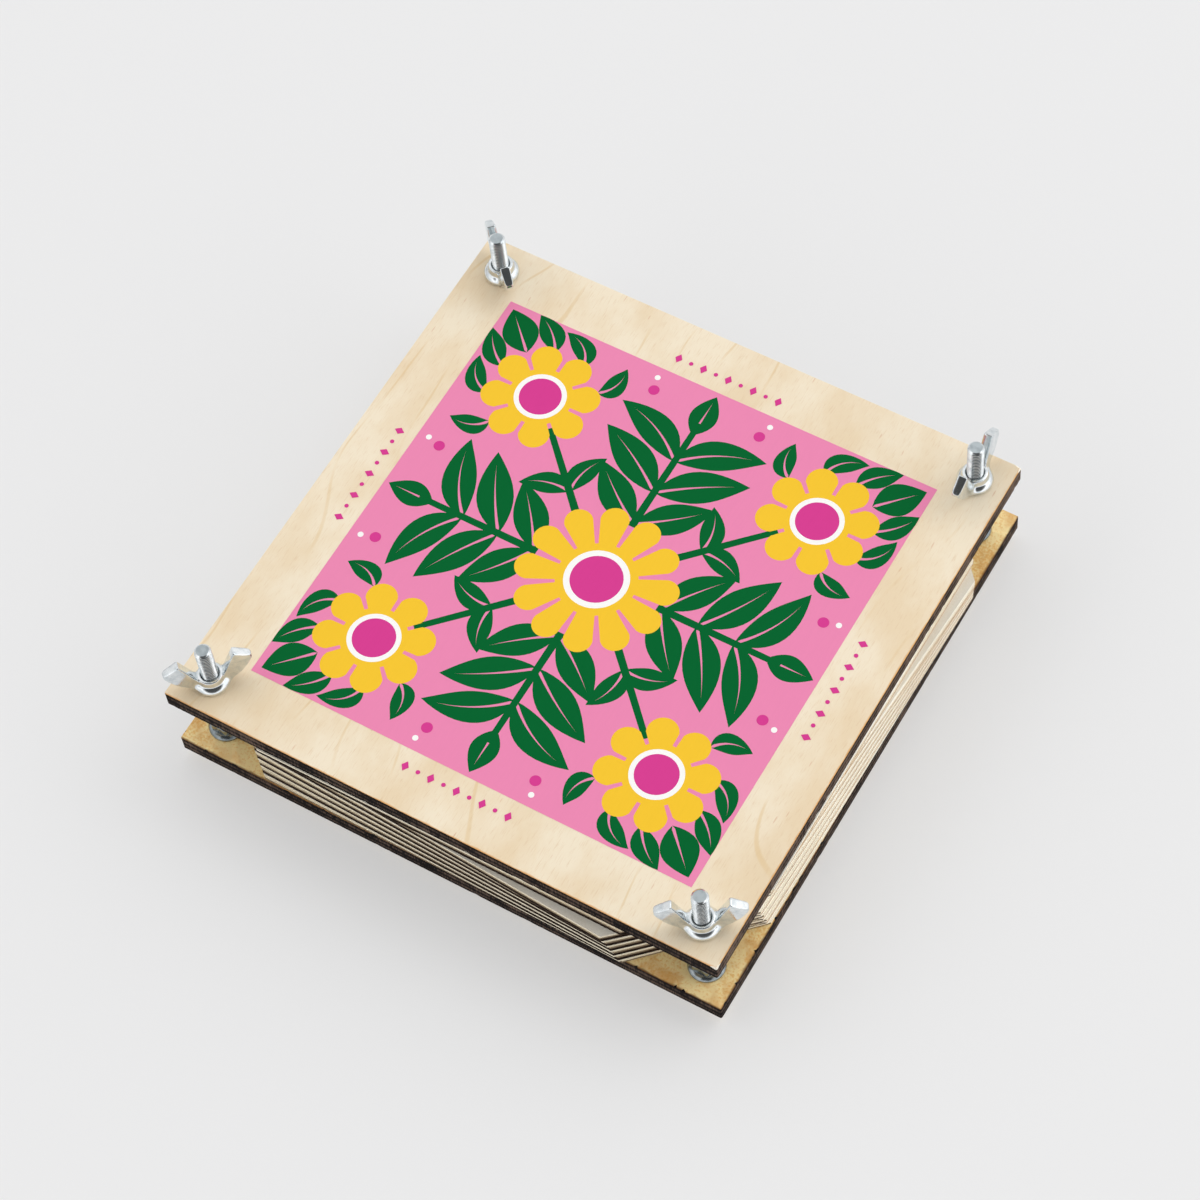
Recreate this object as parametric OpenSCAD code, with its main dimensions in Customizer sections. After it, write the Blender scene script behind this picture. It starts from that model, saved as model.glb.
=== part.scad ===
// Flower press: two square plywood boards, a stack of corrugated cards and blotting sheets
// between them, and four bolts with wing nuts that squeeze the stack.
// Millimetres, +Z up. The origin is the centre of the plan at the level the bolt heads stand on.
// +X runs to the right and +Y away from the front edge.

/* [Boards] */
// Side of each square board
board_w = 180; // [150:1:260]
// Thickness of each board
board_t = 6; // [4:0.5:12]
// Radius of the boards' corners
board_corner_r = 0.5; // [0.5:0.5:6]
// Distance from a board's edge to the axis of a bolt
bolt_inset = 10; // [9:0.5:12]

/* [Sheets] */
// Distance from the boards' edges back to the edges of the sheets
sheet_setback = 0; // [0:0.5:6]
// Gap between a sheet's cut corner and the flange of the lock nut beside it
cut_clearance = 1.7; // [0.8:0.1:10]
// Number of corrugated cards
card_count = 6; // [2:1:8]
// Thickness of a corrugated card
card_t = 1.6; // [1.4:0.1:4]
// Thickness of the paper on each face of a card
liner_t = 0.2; // [0.1:0.05:0.3]
// Thickness of the waved paper inside a card
medium_t = 0.2; // [0.15:0.05:0.3]
// Distance from one wave of a card to the next
flute_pitch = 3.4; // [3:0.1:8]
// Thickness of a blotting sheet
blotter_t = 0.8; // [0.4:0.1:1.5]
// Largest turn of a sheet that lies askew in the stack, in degrees
sheet_twist = 3.3; // [0:0.1:4]

/* [Bolts] */
// Diameter of the bolts
bolt_d = 5; // [4.8:0.1:5.6]
// Length of a bolt under its head
bolt_l = 50; // [46:1:90]
// Diameter of a bolt's domed head
head_d = 13; // [11:0.5:16]
// Height of a bolt's head
head_h = 3.3; // [2.5:0.1:4]
// Height of the straight rim round the head
head_rim = 0.5; // [0.3:0.1:0.8]
// Diameter of the flat on the crown of a head, which the press stands on
crown_d = 3; // [2:0.5:5]
// Side of the square neck that stops a bolt from turning
neck_w = 5.3; // [5.3:0.1:6]
// Length of the square neck
neck_l = 3.4; // [2:0.1:3.8]
// Chamfer on the free end of a bolt
tip_chamfer = 0.6; // [0.3:0.1:1]

/* [Lock nuts] */
// Diameter of a lock nut's flange
flange_d = 11; // [9:0.1:12.8]
// Thickness of the flange at its rim
flange_t = 1; // [0.6:0.1:1.4]
// Distance across the flats of a lock nut
flats_w = 8; // [7.5:0.5:8.5]
// Height of a lock nut
lock_nut_h = 5; // [4:0.1:6]

/* [Wing nuts] */
// Span from wing tip to wing tip
wing_span = 26; // [22:0.5:30]
// Height from the seat to the top of the wings
wing_h = 13; // [11:0.5:16]
// Thickness of a wing where it leaves the hub
wing_root_t = 3.4; // [2.5:0.1:4]
// Thickness of a wing at its tip
wing_tip_t = 2.6; // [1.2:0.1:3]
// Diameter of the hub at its seat
hub_d = 10.8; // [9.5:0.1:12]
// Diameter of the hub at its top
hub_top_d = 7.6; // [7:0.1:8.5]
// Height of the hub
hub_h = 4.5; // [4.2:0.1:8]
// Height of the thick collar round the foot of the hub
collar_h = 2.7; // [2.2:0.1:3]

/* [Fits] */
// Radial clearance of the holes that the top board slides on
slide_clearance = 0.5; // [0.3:0.1:1.5]
// Radial clearance of the round holes in the bottom board
hole_clearance = 0.25; // [0.1:0.05:0.5]
// Radial clearance between a nut's bore and its bolt
thread_clearance = 0.05; // [0.02:0.01:0.1]
// Clearance on each side of a bolt's square neck
neck_clearance = 0.05; // [0.02:0.01:0.1]

/* [Hidden] */
CORNERS = ["front_left", "front_right", "back_right", "back_left"];
// One pair of blotting sheets lies under each card, and one more pair lies on top
blotter_count = 2 * (card_count + 1);

// Facets of a full circle
$fn = 64;
// Overrun of every cut past the face that it goes through
over = 1;

// Holes in the boards
top_hole_d = bolt_d + 2 * slide_clearance;
bottom_hole_d = bolt_d + 2 * hole_clearance;

// Side of the sheets, and the leg of the 45 degree cut that clears a bolt and its lock nut
sheet_w = board_w - 2 * sheet_setback;
corner_cut = 2 * (bolt_inset - sheet_setback) + sqrt(2) * (flange_d / 2 + cut_clearance);

// Heights of the seats, from the table up
bottom_board_z = head_h;
stack_z = bottom_board_z + board_t;
layer_t = card_t + 2 * blotter_t;
stack_t = card_count * layer_t + 2 * blotter_t;
top_board_z = stack_z + stack_t;
nut_seat_z = top_board_z + board_t;

// Bolt axes, one for each name in CORNERS
bolt_at = board_w / 2 - bolt_inset;
corner_signs = [[-1, -1], [1, -1], [1, 1], [-1, 1]];
// Way that the wings of each nut point at rest, in degrees from +X
wing_angles = [45, 31, 90, 136];
// Facets of a nut's hexagon
hex_sides = 6;

// How far each sheet is turned, as shares of sheet_twist, from the bottom up
twist_shares = [0.15, 0.3, 0.35, 0.35, 0.5, 0.5, 0.45, 0.6, 0.6, 0.6,
    0.7, 0.75, 0.75, 0.85, 1, 1, 0.95, 0.05, 0.05, -0.1];

// Half the width of one flute's opening, as a share of flute_pitch
flute_half_share = 0.37;
// Facets along the wave of one flute
flute_steps = 5;
core_h = card_t - 2 * liner_t;
flute_depth = core_h - medium_t;
flute_half_w = flute_half_share * flute_pitch;
// Flutes on each side of the middle, enough to reach past both edges
flute_reach = ceil(sheet_w / flute_pitch / 2) + 1;

// Outline of one wing: distance from the axis as shares of half the span, height as shares of
// wing_h, and corner radius as shares of wing_h
wing_outline_shares = [
    [0.23, 0.06, 0.02],
    [0.5, 0.09, 0.3],
    [0.73, 0.28, 0.6],
    [0.97, 0.62, 0.3],
    [1.02, 0.75, 0.1],
    [0.61, 1.02, 0.04],
    [0.29, 0.33, 0.08]
];
// Facets of each rounded corner of a wing
wing_corner_steps = 4;
half_span = wing_span / 2;

// Points of the arc, radius r, that rounds corner b of the path a, b, c
function corner_arc(a, b, c, r, steps) =
    let (
        u = (a - b) / norm(a - b),
        v = (c - b) / norm(c - b),
        half = acos(u * v) / 2,
        reach = min(r / tan(half), 0.48 * min(norm(a - b), norm(c - b))),
        radius = reach * tan(half),
        middle = b + (u + v) / norm(u + v) * (reach / cos(half)),
        from = b + u * reach - middle,
        to = b + v * reach - middle,
        start = atan2(from[1], from[0]),
        turn = atan2(from[0] * to[1] - from[1] * to[0], from * to)
    )
    [for (i = [0 : steps]) middle + radius * [cos(start + turn * i / steps), sin(start + turn * i / steps)]];

// Closed outline with every corner rounded: each point is [x, y, corner radius]
function rounded(points, steps) =
    let (n = len(points))
    [for (i = [0 : n - 1])
        let (
            a = points[(i + n - 1) % n],
            b = points[i],
            c = points[(i + 1) % n]
        )
        each corner_arc([a[0], a[1]], [b[0], b[1]], [c[0], c[1]], b[2], steps)];

module at_corner(i) {
    translate([corner_signs[i][0] * bolt_at, corner_signs[i][1] * bolt_at, 0]) children();
}

module board_outline() {
    half = board_w / 2;
    inner = half - board_corner_r;
    square([board_w, 2 * inner], center = true);
    square([2 * inner, board_w], center = true);
    for (s = corner_signs) translate(s * inner) circle(r = board_corner_r);
}

module bottom_board() {
    pocket_w = neck_w + 2 * neck_clearance;
    color("#c9a66b") difference() {
        translate([0, 0, bottom_board_z]) linear_extrude(board_t) board_outline();
        for (i = [0 : 3]) at_corner(i) {
            translate([0, 0, bottom_board_z - over]) cylinder(d = bottom_hole_d, h = board_t + 2 * over);
            translate([-pocket_w / 2, -pocket_w / 2, bottom_board_z - over])
                cube([pocket_w, pocket_w, neck_l + over]);
        }
    }
}

module top_board() {
    color("#edd9b8") difference() {
        translate([0, 0, top_board_z]) linear_extrude(board_t) board_outline();
        for (i = [0 : 3]) at_corner(i)
            translate([0, 0, top_board_z - over]) cylinder(d = top_hole_d, h = board_t + 2 * over);
    }
}

// Domed head, square neck and round shank in one piece, head down
module coach_bolt(i) {
    dome_h = head_h - head_rim;
    dome_z = (pow(head_d / 2, 2) + pow(dome_h, 2) - pow(crown_d / 2, 2)) / (2 * dome_h);
    dome_r = norm([crown_d / 2, dome_z]);
    tip_z = head_h + bolt_l;
    color("#bcc3c6") at_corner(i) {
        intersection() {
            translate([0, 0, dome_z]) sphere(r = dome_r);
            cylinder(d = head_d, h = dome_h);
        }
        translate([0, 0, dome_h]) cylinder(d = head_d, h = head_rim);
        translate([-neck_w / 2, -neck_w / 2, head_h]) cube([neck_w, neck_w, neck_l]);
        translate([0, 0, head_h]) cylinder(d = bolt_d, h = bolt_l - tip_chamfer);
        translate([0, 0, tip_z - tip_chamfer])
            cylinder(d1 = bolt_d, d2 = bolt_d - 2 * tip_chamfer, h = tip_chamfer);
    }
}

// Hexagon nut with a flange that clamps the bolt to the bottom board
module lock_nut(i) {
    corner_d = flats_w / cos(180 / hex_sides);
    bevel_h = (flange_d - corner_d) / 4;
    color("#aeb6b9") at_corner(i) translate([0, 0, stack_z]) difference() {
        union() {
            cylinder(d = flange_d, h = flange_t);
            translate([0, 0, flange_t]) cylinder(d1 = flange_d, d2 = corner_d, h = bevel_h);
            intersection() {
                cylinder(d = corner_d, h = lock_nut_h, $fn = hex_sides);
                cylinder(r1 = flats_w / 2 + lock_nut_h, r2 = flats_w / 2, h = lock_nut_h);
            }
        }
        translate([0, 0, -over]) cylinder(r = bolt_d / 2 + thread_clearance, h = lock_nut_h + 2 * over);
    }
}

// Solid of one wing, pointing along +X: its upright outline, thinning towards the tip
module wing() {
    outline = [for (p = wing_outline_shares) [p[0] * half_span, p[1] * wing_h, p[2] * wing_h]];
    root_x = outline[0][0];
    intersection() {
        rotate([90, 0, 0]) linear_extrude(wing_root_t, center = true)
            polygon(rounded(outline, wing_corner_steps));
        linear_extrude(wing_h) polygon([
            [root_x - over, -wing_root_t / 2],
            [hub_d / 2, -wing_root_t / 2],
            [half_span, -wing_tip_t / 2],
            [half_span, wing_tip_t / 2],
            [hub_d / 2, wing_root_t / 2],
            [root_x - over, wing_root_t / 2]
        ]);
    }
}

module wing_nut(i) {
    bore_r = bolt_d / 2 + thread_clearance;
    edge_r = min((hub_d - hub_top_d) / 8, collar_h / 6, (hub_h - collar_h) / 4);
    color("#c5ccd0") at_corner(i) translate([0, 0, nut_seat_z]) rotate(wing_angles[i]) difference() {
        union() {
            rotate_extrude() polygon([
                [0, 0],
                [hub_d / 2 - edge_r, 0],
                [hub_d / 2, edge_r],
                [hub_d / 2, collar_h - 3 * edge_r],
                [hub_d / 2 - edge_r, collar_h - edge_r],
                [hub_top_d / 2 + edge_r, collar_h],
                [hub_top_d / 2, collar_h + edge_r],
                [hub_top_d / 2, hub_h - edge_r],
                [hub_top_d / 2 - edge_r, hub_h],
                [0, hub_h]
            ]);
            for (turn = [0, 180]) rotate(turn) wing();
        }
        translate([0, 0, -over]) cylinder(r = bore_r, h = hub_h + 2 * over);
    }
}

// Square sheet with its four corners cut off
module sheet_outline() {
    half = sheet_w / 2;
    straight = half - corner_cut;
    polygon([
        [-straight, -half], [straight, -half], [half, -straight], [half, straight],
        [straight, half], [-straight, half], [-half, straight], [-half, -straight]
    ]);
}

// One opening of the wave, an arch from the inner face of a liner, with rise = 1 or -1
module flute(rise) {
    polygon([for (i = [0 : flute_steps])
        let (turn = 180 * i / flute_steps - 90)
        [turn / 90 * flute_half_w, rise * flute_depth * cos(turn)]]);
}

// Section of a corrugated card across its flutes: two liners with the waved medium between
module card_section() {
    difference() {
        translate([-sheet_w, 0]) square([2 * sheet_w, card_t]);
        for (k = [-flute_reach : flute_reach]) {
            translate([k * flute_pitch, liner_t]) flute(1);
            translate([(k + 0.5) * flute_pitch, card_t - liner_t]) flute(-1);
        }
    }
}

// Height of a card's underside, above its own pair of blotting sheets
function card_z(i) = stack_z + (i - 1) * layer_t + 2 * blotter_t;

// Height of a blotting sheet's underside
function blotter_z(i) = stack_z + floor((i - 1) / 2) * layer_t + ((i - 1) % 2) * blotter_t;

// Turn of the sheet in a given place of the stack, counted from 0 at the bottom
function twist_of(place) = -sheet_twist * twist_shares[place % len(twist_shares)];

// Corrugated card, its flutes running front to back
module card(i) {
    color("#c59b6c") translate([0, 0, card_z(i)]) rotate(twist_of(3 * i - 1)) intersection() {
        rotate([90, 0, 0]) linear_extrude(sheet_w + 2 * over, center = true) card_section();
        linear_extrude(card_t) sheet_outline();
    }
}

module blotter(i) {
    place = 3 * floor((i - 1) / 2) + (i - 1) % 2;
    color("#e9e4d3") translate([0, 0, blotter_z(i)]) rotate(twist_of(place))
        linear_extrude(blotter_t) sheet_outline();
}

bottom_board();
top_board();
for (i = [0 : 3]) {
    coach_bolt(i);
    lock_nut(i);
    wing_nut(i);
}
for (i = [1 : card_count])
    card(i);
for (i = [1 : blotter_count])
    blotter(i);
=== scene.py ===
"""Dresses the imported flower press: plywood boards with a print, bolts and nuts, cards and blotters."""

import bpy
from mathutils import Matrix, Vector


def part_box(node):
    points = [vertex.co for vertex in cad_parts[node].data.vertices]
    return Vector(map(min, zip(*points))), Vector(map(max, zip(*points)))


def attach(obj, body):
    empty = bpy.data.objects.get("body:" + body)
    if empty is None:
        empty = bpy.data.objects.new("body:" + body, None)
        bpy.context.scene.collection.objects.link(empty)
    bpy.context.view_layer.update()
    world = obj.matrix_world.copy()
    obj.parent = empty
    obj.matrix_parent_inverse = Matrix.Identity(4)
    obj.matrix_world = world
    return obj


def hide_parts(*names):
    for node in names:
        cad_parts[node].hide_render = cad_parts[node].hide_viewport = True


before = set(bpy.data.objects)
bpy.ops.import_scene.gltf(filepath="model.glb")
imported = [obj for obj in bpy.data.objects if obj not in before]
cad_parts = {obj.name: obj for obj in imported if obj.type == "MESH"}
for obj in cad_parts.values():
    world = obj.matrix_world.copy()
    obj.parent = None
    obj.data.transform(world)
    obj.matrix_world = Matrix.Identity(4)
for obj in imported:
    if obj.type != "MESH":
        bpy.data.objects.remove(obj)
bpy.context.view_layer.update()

import logging
import math
from collections.abc import Callable, Iterable, Sequence
from dataclasses import dataclass, field
from enum import Enum
from functools import partial

import bmesh
import bpy
from mathutils import Matrix, Quaternion, Vector, noise
from mathutils.geometry import delaunay_2d_cdt

log = logging.getLogger("flower_press")
MM = 0.001
# The bands of a wave texture repeat every 0.314 units
WAVE_REPEAT = 0.314
Plane = tuple[float, float]
Point = tuple[float, float, float]
Node = bpy.types.Node
Socket = bpy.types.NodeSocket
Adder = Callable[..., bpy.types.Node]
CENTRE: Plane = (0.0, 0.0)
# The kind of triangulation that covers what lies inside the outlines, and how near its points may lie
INSIDE = 1
BOARD_GAP = 1e-5
PRINT_GAP = 1e-4


class Corner(Enum):
    """The four bolted corners, by the names that the nodes carry."""

    FRONT_LEFT = "front_left"
    FRONT_RIGHT = "front_right"
    BACK_RIGHT = "back_right"
    BACK_LEFT = "back_left"


class Ink(Enum):
    """The inks in the order in which they are printed, each with its sRGB colour."""

    PINK = "#EE8BB4"
    GREEN = "#00652F"
    YELLOW = "#F8C834"
    WHITE = "#FCFBF7"
    MAGENTA = "#D94092"


def linear(colour: str) -> tuple[float, float, float, float]:
    """Turns an sRGB colour into scene-linear light.

    Args:
        colour: The colour as "#RRGGBB".

    Returns:
        Red, green, blue and an alpha of 1.
    """
    channels = [int(colour[i:i + 2], 16) / 255 for i in (1, 3, 5)]
    light = [c / 12.92 if c <= 0.04045 else ((c + 0.055) / 1.055) ** 2.4 for c in channels]
    return light[0], light[1], light[2], 1.0


def add_node(tree: bpy.types.NodeTree, kind: str, inputs: dict | None = None,
             ramp: Sequence[tuple[float, str]] = (), **settings: object) -> Node:
    """Adds a node with its settings, its values and its links.

    Args:
        tree: The node tree.
        kind: The node's type name, less the "ShaderNode" that it starts with.
        inputs: Socket names or numbers, each with a value, a colour as "#RRGGBB", an output to link to it,
            or a node whose first output in use is linked.
        ramp: Stops of a colour ramp, as a place from 0 to 1 and a colour.
        **settings: Properties of the node itself.

    Returns:
        The new node.
    """
    node = tree.nodes.new(f"ShaderNode{kind}")
    for name, value in settings.items():
        setattr(node, name, value)
    for socket, value in (inputs or {}).items():
        if isinstance(value, Node):
            value = next(output for output in value.outputs if output.enabled)
        if isinstance(value, Socket):
            tree.links.new(value, node.inputs[socket])
        else:
            node.inputs[socket].default_value = linear(value) if isinstance(value, str) else value
    for number, (place, colour) in enumerate(ramp):
        stops = node.color_ramp.elements
        stop = stops[number] if number < 2 else stops.new(place)
        stop.position = place
        stop.color = linear(colour)
    return node


@dataclass(frozen=True)
class Finish:
    """A real surface: what it is made of and how it was made."""

    name: str

    def shade(self, add: Adder) -> Node:
        """Builds the nodes of the surface and returns the shader node."""
        raise NotImplementedError

    def material(self) -> bpy.types.Material:
        """Returns the finish as a material, made once.

        Returns:
            The material.
        """
        made = bpy.data.materials.get(self.name)
        if made is None:
            made = bpy.data.materials.new(self.name)
            made.use_nodes = True
            made.node_tree.nodes.clear()
            add = partial(add_node, made.node_tree)
            add("OutputMaterial", {"Surface": self.shade(add)})
        return made


@dataclass(frozen=True)
class BirchVeneer(Finish):
    """Rotary-cut birch face veneer, sanded. The eye gets a pale cream with soft warm clouds, fine short
    flecks along the grain, a few thin wandering growth lines, and a narrow toasted line at the edges."""

    half_width: float
    pale: str = "#F4E6CC"
    mid: str = "#ECD7B5"
    fleck: str = "#DDBE94"
    ring: str = "#DFBC7E"
    dash: str = "#C9803F"
    scorch: str = "#E09E4C"
    scorch_width: float = 0.6 * MM
    # Flecks of birch are about 0.35 mm wide and 4 mm long, growth lines about 16 mm apart
    fleck_width: float = 0.35 * MM
    fleck_length: float = 4 * MM
    ring_gap: float = 16 * MM

    def growth_lines(self, add: Adder, place: Socket) -> Node:
        """Draws the thin lines where the cutter crossed a year's growth.

        Args:
            add: Adds a node to the material.
            place: The place on the board.

        Returns:
            How much of the line's colour shows, from 0 to 1.
        """
        stretched = add("Mapping", {
            "Vector": place, "Location": (0.21, 0.1, 0.0),
            "Scale": (WAVE_REPEAT / self.ring_gap, 0.20 / self.ring_gap, 0.0)})
        rings = add("TexWave", {
            "Vector": stretched, "Scale": 1.0, "Distortion": 12.0, "Detail": 1.5, "Detail Scale": 0.8,
            "Detail Roughness": 0.4}, bands_direction="X")
        line = add("MapRange", {
            "Value": rings.outputs["Fac"], "From Min": 0.988, "From Max": 1.0, "To Max": 0.42},
            interpolation_type="SMOOTHSTEP")
        patches = add("TexNoise", {"Vector": place, "Scale": 1 / (30 * MM), "Detail": 1.0})
        gate = add("MapRange", {"Value": patches, "From Min": 0.44, "From Max": 0.60},
                   interpolation_type="SMOOTHSTEP")
        return add("Math", {0: line, 1: gate}, operation="MULTIPLY")

    def wood(self, add: Adder, place: Socket, flecks: Node) -> Node:
        """Mixes the colours of the bare wood.

        Args:
            add: Adds a node to the material.
            place: The place on the board.
            flecks: The noise of the flecks.

        Returns:
            The colour.
        """
        cloud_map = add("Mapping", {
            "Vector": place, "Scale": (1 / (16 * MM), 1 / (26 * MM), 1 / (16 * MM))})
        cloud = add("TexNoise", {"Vector": cloud_map, "Scale": 1.0, "Detail": 5.0, "Roughness": 0.55})
        tone = add("ValToRGB", {"Fac": cloud}, ramp=((0.36, self.mid), (0.62, self.pale)))
        ringed = add("Mix", {0: self.growth_lines(add, place), 6: tone, 7: self.ring}, data_type="RGBA")
        fleck_share = add("MapRange", {
            "Value": flecks, "From Min": 0.52, "From Max": 0.74, "To Max": 0.42},
            interpolation_type="SMOOTHSTEP")
        flecked = add("Mix", {0: fleck_share, 6: ringed, 7: self.fleck}, data_type="RGBA")
        dash_map = add("Mapping", {
            "Vector": place, "Rotation": (0.0, 0.0, 0.12), "Scale": (1 / (0.7 * MM), 1 / (5 * MM), 1 / MM)})
        dashes = add("TexNoise", {"Vector": dash_map, "Scale": 1.0, "Detail": 0.0})
        dash_share = add("MapRange", {"Value": dashes, "From Min": 0.82, "From Max": 0.88, "To Max": 0.35})
        return add("Mix", {0: dash_share, 6: flecked, 7: self.dash}, data_type="RGBA")

    def edge_gap(self, add: Adder, place: Socket, all_round: bool) -> Node:
        """Measures how far a place lies inside the board's nearest edge.

        Args:
            add: Adds a node to the material.
            place: The place on the board.
            all_round: Whether all four edges count, or only the front and the right one.

        Returns:
            The distance.
        """
        axes = add("SeparateXYZ", {0: place})
        across = axes.outputs["X"]
        deep = add("Math", {0: axes.outputs["Y"], 1: -1.0}, operation="MULTIPLY")
        if all_round:
            across, deep = (add("Math", {0: axis}, operation="ABSOLUTE") for axis in (across, deep))
        reach = add("Math", {0: across, 1: deep}, operation="MAXIMUM")
        return add("Math", {0: self.half_width, 1: reach}, operation="SUBTRACT")

    def shade(self, add: Adder) -> Node:
        """Builds the veneer's nodes.

        Args:
            add: Adds a node to the material.

        Returns:
            The shader.
        """
        place = add("TexCoord").outputs["Object"]
        along = add("Mapping", {
            "Vector": place,
            "Scale": (1 / self.fleck_width, 1 / self.fleck_length, 1 / self.fleck_width)})
        flecks = add("TexNoise", {"Vector": along, "Scale": 1.0, "Detail": 3.0, "Roughness": 0.6})
        wood = self.wood(add, place, flecks)
        # The air jet blows the smoke forwards and to the right, so those two edges are toasted
        gap = self.edge_gap(add, place, all_round=False)
        uneven = add("TexNoise", {"Vector": place, "Scale": 1 / (4 * MM), "Detail": 2.0})
        width = add("Math", {0: uneven, 1: 2 * self.scorch_width}, operation="MULTIPLY")
        toast = add("MapRange", {"Value": gap, "From Max": width, "To Min": 0.95, "To Max": 0.0},
                    interpolation_type="SMOOTHSTEP")
        toasted = add("Mix", {0: toast, 6: wood, 7: self.scorch}, data_type="RGBA")
        relief = add("Bump", {"Height": flecks, "Strength": 0.3, "Distance": 0.04 * MM})
        return add("BsdfPrincipled", {
            "Base Color": toasted, "Roughness": 0.6, "IOR": 1.46, "Specular IOR Level": 0.3,
            "Normal": relief})


@dataclass(frozen=True)
class SmokedVeneer(BirchVeneer):
    """Birch veneer that the laser's smoke has stained. The eye gets a fine-grained golden tan, smooth in the
    middle, with amber and brown clouds that gather towards the edges."""

    tan: str = "#FFE8AC"
    deep_tan: str = "#F2C67A"
    amber: str = "#D48C28"
    stain_reach: float = 16 * MM

    def wood(self, add: Adder, place: Socket, flecks: Node) -> Node:
        """Mixes the colours of the stained wood.

        Args:
            add: Adds a node to the material.
            place: The place on the board.
            flecks: The noise of the flecks.

        Returns:
            The colour.
        """
        haze = add("TexNoise", {"Vector": place, "Scale": 1 / (13 * MM), "Detail": 2.0, "Roughness": 0.5})
        grain = add("TexNoise", {"Vector": place, "Scale": 1 / (0.7 * MM), "Detail": 1.0, "Roughness": 0.6})
        fine = add("Math", {0: grain, 1: 1.4, 2: haze}, operation="MULTIPLY_ADD")
        fine_grain = add("Math", {0: flecks, 1: 0.2, 2: fine}, operation="MULTIPLY_ADD")
        tone = add("MapRange", {"Value": fine_grain, "From Min": 0.98, "From Max": 1.40})
        base = add("Mix", {0: tone, 6: self.deep_tan, 7: self.tan}, data_type="RGBA")
        patches = add("TexNoise", {
            "Vector": place, "Scale": 1 / (7.5 * MM), "Detail": 2.5, "Roughness": 0.55, "Distortion": 0.3})
        near = add("MapRange", {
            "Value": self.edge_gap(add, place, all_round=True), "From Max": self.stain_reach,
            "To Min": 0.17, "To Max": -0.06})
        cloudy = add("Math", {0: patches, 1: near}, operation="ADD")
        share = add("MapRange", {"Value": cloudy, "From Min": 0.58, "From Max": 0.84, "To Max": 0.55},
                    interpolation_type="SMOOTHSTEP")
        return add("Mix", {0: share, 6: base, 7: self.amber}, data_type="RGBA")


@dataclass(frozen=True)
class CharredEdge(Finish):
    """Laser-cut edge of birch plywood. The eye gets a near-black brown, dusty rather than glossy, with the
    plies as faint bands and the beam's close upright lines."""

    floor: float = 0.0
    soot: str = "#100A0A"
    bark: str = "#715E52"
    ply: float = 1.2 * MM
    # The beam leaves a line about every 0.35 mm
    beam_gap: float = 0.35 * MM
    lit_right_share: float = 0.18

    def shade(self, add: Adder) -> Node:
        """Builds the edge's nodes.

        Args:
            add: Adds a node to the material.

        Returns:
            The shader.
        """
        place = add("TexCoord").outputs["Object"]
        upright = add("Mapping", {
            "Vector": place, "Scale": (1 / self.beam_gap, 1 / self.beam_gap, 1 / (5 * MM))})
        beam = add("TexNoise", {"Vector": upright, "Scale": 1.0, "Detail": 2.0})
        height = add("SeparateXYZ", {0: place})
        level = add("Math", {0: height.outputs["Z"], 1: self.floor}, operation="SUBTRACT")
        plies = add("Math", {0: level, 1: 2 * self.ply}, operation="DIVIDE")
        ply_turn = add("Math", {0: plies}, operation="FRACT")
        ply_tone = add("ValToRGB", {"Fac": ply_turn}, ramp=(
            (0.0, "#000000"), (0.46, "#303030"), (0.5, "#FFFFFF"), (0.96, "#D0D0D0"), (1.0, "#101010")))
        drift = add("TexNoise", {"Vector": place, "Scale": 1 / (8 * MM), "Detail": 4.0, "Roughness": 0.6})
        beam_share = add("Math", {0: beam, 1: drift}, operation="ADD")
        mixed = add("Math", {0: ply_tone, 1: 0.30, 2: beam_share}, operation="MULTIPLY_ADD")
        # The right-hand cut is painted lighter and browner, as the light that falls on it from the right
        turn = add("SeparateXYZ", {0: add("TexCoord").outputs["Normal"]})
        lit_right = add("MapRange", {
            "Value": turn.outputs["X"], "From Min": 0.4, "From Max": 1.0, "To Max": self.lit_right_share})
        with_lit_right = add("Math", {0: mixed, 1: lit_right}, operation="ADD")
        share = add("MapRange", {"Value": with_lit_right, "From Min": 1.09, "From Max": 1.52})
        tone = add("Mix", {0: share, 6: self.soot, 7: self.bark}, data_type="RGBA")
        relief = add("Bump", {"Height": beam, "Strength": 0.6, "Distance": 0.08 * MM})
        return add("BsdfPrincipled", {
            "Base Color": tone, "Roughness": 0.8, "IOR": 1.45, "Specular IOR Level": 0.1, "Normal": relief})


@dataclass(frozen=True)
class ScreenInk(Finish):
    """Opaque screen-printed ink. The eye gets a flat even colour with a soft satin, and up close the weave
    of the screen and a little of the grain underneath."""

    colour: str = "#FFFFFF"
    # A screen has about 55 threads to the centimetre, drawn here at half that so that it can show
    thread: float = 0.36 * MM
    thin_share: float = 0.82

    def shade(self, add: Adder) -> Node:
        """Builds the ink's nodes.

        Args:
            add: Adds a node to the material.

        Returns:
            The shader.
        """
        place = add("TexCoord").outputs["Object"]
        weave = add("TexVoronoi", {"Vector": place, "Scale": 1 / self.thread, "Randomness": 0.35})
        grain = add("Mapping", {
            "Vector": place, "Scale": (1 / (0.5 * MM), 1 / (6 * MM), 1 / (0.5 * MM))})
        through = add("TexNoise", {"Vector": grain, "Scale": 1.0, "Detail": 3.0})
        lean = add("MapRange", {"Value": through, "From Min": 0.35, "From Max": 0.8, "To Max": 0.1})
        base = linear(self.colour)
        thin = tuple(self.thin_share * channel for channel in base[:3]) + (1.0,)
        colour = add("Mix", {0: lean, 6: base, 7: thin}, data_type="RGBA")
        height = add("Math", {0: weave, 1: through}, operation="ADD")
        relief = add("Bump", {"Height": height, "Strength": 0.22, "Distance": 0.03 * MM})
        return add("BsdfPrincipled", {
            "Base Color": colour, "Roughness": 0.55, "IOR": 1.48, "Specular IOR Level": 0.04,
            "Normal": relief})


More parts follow.
